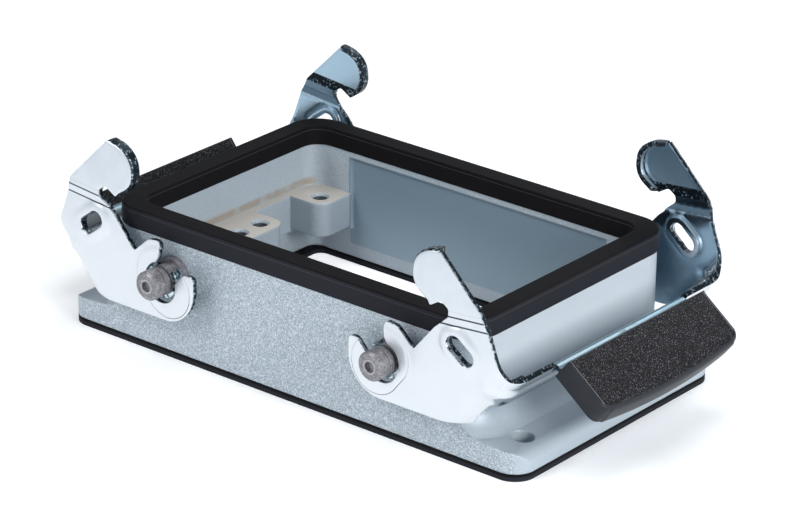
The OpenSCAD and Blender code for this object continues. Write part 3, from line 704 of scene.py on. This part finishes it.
inside = on_arm * (zinc_y * zinc.facing()[1] * 1000).fade(-10.0, -30.0)
slope, shaded_band = inside * above.between(*slope_band), inside * above.between(*shaded_band_span)
lines = lines * (1 - inside * 0.8)
on_web = zinc_out.fade(-0.9, -0.5) * (1 - on_tongue)
flanks = zinc_up.between(*top_flank) * 0.5 + zinc_up.between(*low_flank) * 0.65
# The sheet is painted darker towards the top, a painted gradient of reflected light.
zinc_tone = zinc.mix(arm_z.fade(0, 40) * 0.7, zinc_white, zinc_top_shade)
zinc_tone = zinc.mix(zinc_cloud.fade(0.35, 0.65) * 0.5, zinc_tone, zinc_bright)
# Faces turned towards the housing are painted darker and bluer, a painted reflection of the housing.
zinc_tone = zinc.mix(inside, zinc_tone, inside_reflection)
# On the inside, the joggle's slope and a speckled band above it are painted dark, as painted shade and
# reflection.
zinc_tone = zinc.mix(slope * 0.7, zinc_tone, slope_shade)
zinc_tone = zinc.mix(shaded_band * zinc_speck.fade(0.66, 0.58), zinc_tone, band_shade)
# Painted shade: thin dark lines along the joggle's creases, round the embossed ring and across the tongue's
# folds.
zinc_tone = zinc.mix(lines * 0.95, zinc_tone, line_shade)
zinc_tone = zinc.mix(on_tongue * 0.75, zinc_tone, tongue_blue)
# Bands on the web's outer side, along the bead's flanks, are painted dark, as painted reflection and shade.
zinc_tone = zinc.mix(on_web * flanks, zinc_tone, flank_reflection)
zinc_rough = 0.17 + 0.1 * zinc_cloud + shaded_band * 0.3 + on_arm * (1 - inside) * 0.22 + on_tongue * 0.2
zinc.set(Base_Color=zinc_tone, Roughness=zinc_rough)
zinc.bump(zinc.noise(700, detail=2) - lines * 2, distance=0.00003, strength=0.35)

tear_dark, tear_light, cut_bright = srgb(44, 56, 64), srgb(222, 232, 238), srgb(206, 214, 222)
sheared = Finish("sheared_edge", Metallic=1.0)
tear = sheared.noise(1000, detail=3, roughness=0.7)
cut_x, cut_y, cut_z = sheared.axes()
cut_from_pin = abs(cut_x) * 1000 - lever_pin.x
cut_above = cut_z * 1000 - lever_pin.z
cut_out = abs(cut_y) * 1000 - cut_above.fade(joggle_low, joggle_low + joggle_run) * joggle_step
on_nose = cut_from_pin.fade(18.4, 18.0) * cut_above.fade(19.0, 19.6)
burnished = cut_out.fade(50.4, 50.65) * (1 - on_nose)
tear_tone = sheared.mix(tear.fade(0.54, 0.72), tear_dark, tear_light)
tear_tone = sheared.mix(burnished * tear.fade(0.40, 0.50), tear_tone, cut_bright)
sheared.set(Base_Color=tear_tone, Roughness=0.22 + 0.25 * tear)
sheared.bump(tear, distance=0.0002, strength=0.9)

for side_name, side in (("right", 1), ("left", -1)):
    lever = bpy.data.objects.new(f"formed_lever_{side_name}", lever_mesh(f"formed_lever_{side_name}", side))
    scene.collection.objects.link(lever)
    lever.data.materials.append(zinc.material)
    lever.data.materials.append(sheared.material)
    thickness = lever.modifiers.new("thickness", "SOLIDIFY")
    thickness.thickness = sheet / 1000
    thickness.offset = -1
    thickness.use_even_offset = True
    thickness.material_offset_rim = 1
    softened = lever.modifiers.new("softened", "BEVEL")
    softened.width = 0.00018
    softened.segments = 2
    softened.limit_method = "ANGLE"
    softened.angle_limit = math.radians(50)
    shaped = bpy.data.meshes.new_from_object(lever.evaluated_get(bpy.context.evaluated_depsgraph_get()))
    lever.modifiers.clear()
    lever.data = shaped
    for polygon in shaped.polygons:
        middle = polygon.center * 1000
        place = Vector((abs(middle.x) - lever_pin.x, middle.z - lever_pin.z))
        turned = Vector((polygon.normal.x * side, polygon.normal.z))
        round_oval = oval_r + 0.3 < from_oval(place) < oval_r + 3
        in_nose = place.y > nose_low and abs(middle.y) < arm_y - 1 and (place - nose_at).dot(turned) < 0
        if round_oval or in_nose:
            polygon.material_index = 0
    shaped.polygons.foreach_set("use_smooth", [True] * len(shaped.polygons))
    shaped.set_sharp_from_angle(angle=math.radians(30))
    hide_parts(f"lever_{side_name}")
    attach(lever, f"{side_name}_lever")

# Bushes: strips of zinc plated spring steel, rolled to a C.
# Each is pressed into the fork of a lever's arm and turns with it round the pin.
bush_dark, bush_light = srgb(70, 88, 96), srgb(196, 210, 216)
bush_steel = Finish("bush_steel", Metallic=1.0, Roughness=0.2)
bush_mottle = bush_steel.noise(900, detail=2)
bush_steel.set(Base_Color=bush_steel.mix(bush_mottle.fade(0.4, 0.62), bush_dark, bush_light))
bush_steel.bump(bush_mottle, distance=0.00006, strength=0.5, normal=bush_steel.rounded(0.0002))
bush_steel.give(*(node for name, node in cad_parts.items() if name.startswith("bush")))

# Grips: black moulded plastic caps pushed over the levers' tongues, with a coarse grain on top.
# The top is painted darker than the sides as shade, with painted glints and a thin painted highlight near
# each end.
# Their outer edge is bowed and softly rounded, and two snap lips reach under the tongue.
# Sizes are in mm, outwards from the web's top edge, across the lever and up along the web.
grip_back, grip_end, grip_half, grip_corner, grip_bow = 1.8, 20.5, 31.0, 3.0, 2.0
grip_low, grip_high = -1.6, 5.3
edge_back, edge_side, edge_end = 0.4, 0.7, 1.8
bow_r = (grip_half ** 2 + grip_bow ** 2) / (2 * grip_bow)
side_end = grip_end - grip_bow - grip_corner
space_out, space_across, space_up = (-1, 16.6), (-29.1, 29.1), (-3, 0.1)
lip_out, lip_up, lip_half, lip_places = (15.1, 18.3), (-2.4, -1.4), 2, (-25, 25)


def grip_outline():
    """Plan of the grip as (out, across, rounding of its top edge), anticlockwise from above the tongue."""
    points = []
    for across in np.linspace(-grip_half, grip_half, 61)[::-1]:
        points.append((grip_back, across, edge_back))
    for out in np.linspace(grip_back, side_end, 14)[1:]:
        points.append((out, -grip_half, edge_side))
    corner = []
    for degrees in range(10, 90, 10):
        turn = math.radians(degrees)
        corner.append((side_end + grip_corner * math.sin(turn),
                       -grip_half + grip_corner * (1 - math.cos(turn)),
                       edge_side + (edge_end - edge_side) * math.sin(turn)))
    points += corner
    for across in np.linspace(-grip_half + grip_corner, grip_half - grip_corner, 61):
        out = grip_end - bow_r + math.sqrt(bow_r ** 2 - across ** 2)
        points.append((min(out, grip_end), across, edge_end))
    points += [(out, -across, edge) for out, across, edge in reversed(corner)]
    for out in np.linspace(grip_back, side_end, 14)[:0:-1]:
        points.append((out, grip_half, edge_side))
    return points


def grip_mesh(name, side):
    """Closed shell of a grip: its plan in levels, from the chamfered foot to the rounded top edge."""
    outline = grip_outline()
    count = len(outline)
    plan = [Vector(point[:2]) for point in outline]
    inward = []
    for i in range(count):
        along = plan[(i + 1) % count] - plan[i - 1]
        inward.append(Vector((-along.y, along.x)).normalized())
    levels = [(0.4, grip_low, 0), (0.1, grip_low + 0.1, 0), (0, grip_low + 0.4, 0)]
    for degrees in range(0, 91, 15):
        turn = math.radians(degrees)
        levels.append((1 - math.cos(turn), grip_high, math.sin(turn) - 1))
    made = bmesh.new()
    rows = []
    for share, height, drop in levels:
        row = []
        for (out, across, edge), point, turn in zip(outline, plan, inward):
            size = edge if height == grip_high else 1
            moved = point + turn * share * size
            place = web_top + web_out * moved.x + web_up * (height + drop * edge)
            place = Vector(((place.x + lever_pin.x) * side, moved.y, place.y + lever_pin.z))
            row.append(made.verts.new(place / 1000))
        rows.append(row)
    for below, above in zip(rows, rows[1:]):
        for i in range(count):
            j = (i + 1) % count
            made.faces.new((below[i], below[j], above[j], above[i]))
    made.faces.new(rows[-1])
    made.faces.new(rows[0][::-1])
    bmesh.ops.recalc_face_normals(made, faces=made.faces)
    mesh = bpy.data.meshes.new(name)
    made.to_mesh(mesh)
    made.free()
    return mesh


def strip_box(name, side, out, across, up):
    """Box given in the web's directions as three (low, high) pairs."""
    made = bmesh.new()
    bmesh.ops.create_cube(made, size=1)
    for v in made.verts:
        n, y, w = ((low + high) / 2 + c * (high - low) for c, (low, high) in zip(v.co, (out, across, up)))
        place = web_top + web_out * n + web_up * w
        v.co = Vector(((place.x + lever_pin.x) * side, y, place.y + lever_pin.z)) / 1000
    bmesh.ops.recalc_face_normals(made, faces=made.faces)
    mesh = bpy.data.meshes.new(name)
    made.to_mesh(mesh)
    made.free()
    obj = bpy.data.objects.new(name, mesh)
    scene.collection.objects.link(obj)
    return obj


plastic_side, plastic_top_shade, grain_dark = srgb(40, 42, 47), srgb(13, 13, 15), srgb(8, 8, 9)
glint_highlight, edge_highlight_grey = srgb(150, 147, 156), srgb(128, 130, 134)
edge_y = (0.02995, 0.0302, 0.0001)
plastic = Finish("grained_plastic", Specular_IOR_Level=0.18, Roughness=0.45)
grain_x, _, grain_z = plastic.facing()
upper = (abs(grain_x) * web_up.x + grain_z * web_up.y).fade(0.9, 0.985)
pebble = plastic.noise(2400, detail=2, roughness=0.6)
glint = plastic.noise(3700, detail=1, roughness=0.5)
# A thin painted highlight runs along the top near each end.
edge_highlight = upper * abs(plastic.axes()[1]).between(*edge_y)
# The top is painted darker than the sides, as shade.
grain_and_shading_tone = plastic.mix(upper, plastic_side, plastic_top_shade)
# Painted highlights: glints of the grain on the top.
grain_and_shading_tone = plastic.mix(glint.fade(0.58, 0.74) * upper * 0.9, grain_and_shading_tone, glint_highlight)
grain_and_shading_tone = plastic.mix(pebble.fade(0.5, 0.3) * upper * 0.8, grain_and_shading_tone, grain_dark)
grain_and_shading_tone = plastic.mix(edge_highlight * 0.6, grain_and_shading_tone, edge_highlight_grey)
plastic.set(Base_Color=grain_and_shading_tone)
plastic.bump(pebble * upper + glint * 0.1, distance=0.00025, strength=0.8)
for side_name, side in (("right", 1), ("left", -1)):
    grip = bpy.data.objects.new(f"moulded_grip_{side_name}", grip_mesh(f"moulded_grip_{side_name}", side))
    scene.collection.objects.link(grip)
    tools = [strip_box("tongue_space", side, space_out, space_across, space_up)]
    tools += [strip_box("snap_lip", side, lip_out, (y - lip_half, y + lip_half), lip_up) for y in lip_places]
    for tool, operation in zip(tools, ("DIFFERENCE", "UNION", "UNION")):
        change = grip.modifiers.new(operation, "BOOLEAN")
        change.object = tool
        change.operation = operation
    shaped = bpy.data.meshes.new_from_object(grip.evaluated_get(bpy.context.evaluated_depsgraph_get()))
    grip.modifiers.clear()
    grip.data = shaped
    for tool in tools:
        bpy.data.objects.remove(tool)
    shaped.polygons.foreach_set("use_smooth", [True] * len(shaped.polygons))
    shaped.set_sharp_from_angle(angle=math.radians(35))
    plastic.give(grip)
    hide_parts(f"grip_{side_name}")
    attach(grip, f"{side_name}_lever")
